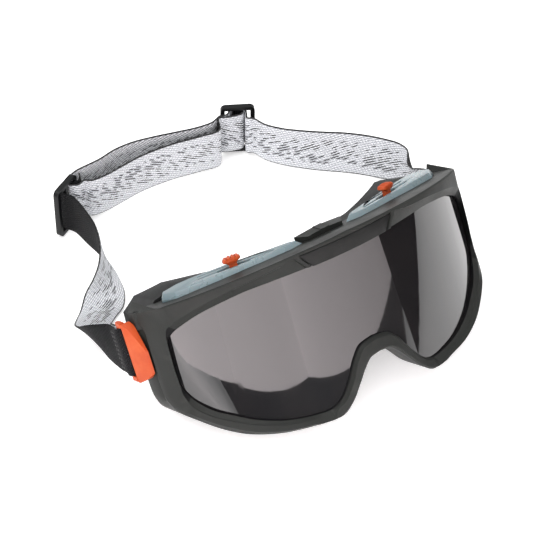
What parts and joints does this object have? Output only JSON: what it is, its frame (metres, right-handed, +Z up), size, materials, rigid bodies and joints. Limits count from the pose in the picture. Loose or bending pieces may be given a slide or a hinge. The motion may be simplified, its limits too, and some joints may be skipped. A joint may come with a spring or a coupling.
{
  "type": "welding goggles",
  "caption": "Full-seal goggles with a dark one-piece curved lens, slider-controlled roof vents, turning side clips and an adjustable two-part elastic headband.",
  "frame": {"origin": "middle of the whole object's box, on the surface that it stands on", "axes": "+Z up, -Y the way the lens faces, +X to the right as seen from in front of the lens"},
  "size_m": [0.1851, 0.1852, 0.0768],
  "materials": {
    "rim_plastic": "matte olive-charcoal moulded plastic",
    "lens_tint": "dark welding tint, polished",
    "brow_blank": "satin black",
    "skirt_rubber": "soft matte",
    "vent_smoke": "translucent blue-grey, satin",
    "vent_black": "matte",
    "orange_plastic": "satin orange",
    "pin_plastic": "matte",
    "webbing": "woven elastic, white inside and black outside",
    "slider_plastic": "satin black",
    "thread": "black sewing thread"
  },
  "bodies": {
    "goggles": {"frame": "rim_plastic", "lens": "lens_tint", "brow_plate": "brow_blank", "face_skirt": "skirt_rubber", "vent_cover_left": "vent_smoke", "vent_cover_right": "vent_smoke", "vent_grille_left": "vent_black", "vent_grille_right": "vent_black", "clip_pivot_pin_left": "pin_plastic", "clip_pivot_pin_right": "pin_plastic"},
    "shutter_left": {"vent_shutter_left": "orange_plastic", "vent_knob_left": "orange_plastic"},
    "shutter_right": {"vent_shutter_right": "orange_plastic", "vent_knob_right": "orange_plastic"},
    "headband": {"strap_clip_left": "orange_plastic", "strap_clip_right": "orange_plastic", "strap_left": "webbing", "strap_right": "webbing", "strap_slider_left": "slider_plastic", "strap_slider_back": "slider_plastic", "strap_stitching": "thread"}
  },
  "joints": [
    {"name": "vent_slide_left", "type": "slide", "parent": "goggles", "child": "shutter_left", "axis": [-0.9251, 0.2995, -0.2333], "range_m": [-0.005, 0.005]},
    {"name": "vent_slide_right", "type": "slide", "parent": "goggles", "child": "shutter_right", "axis": [0.9251, 0.2995, -0.2333], "range_m": [-0.005, 0.005]},
    {"name": "headband_swing", "type": "hinge", "parent": "goggles", "child": "headband", "pos_m": [-0.00115, -0.03074, 0.02974], "axis": [1, 0, 0], "range_deg": [-15, 20]}
  ]
}
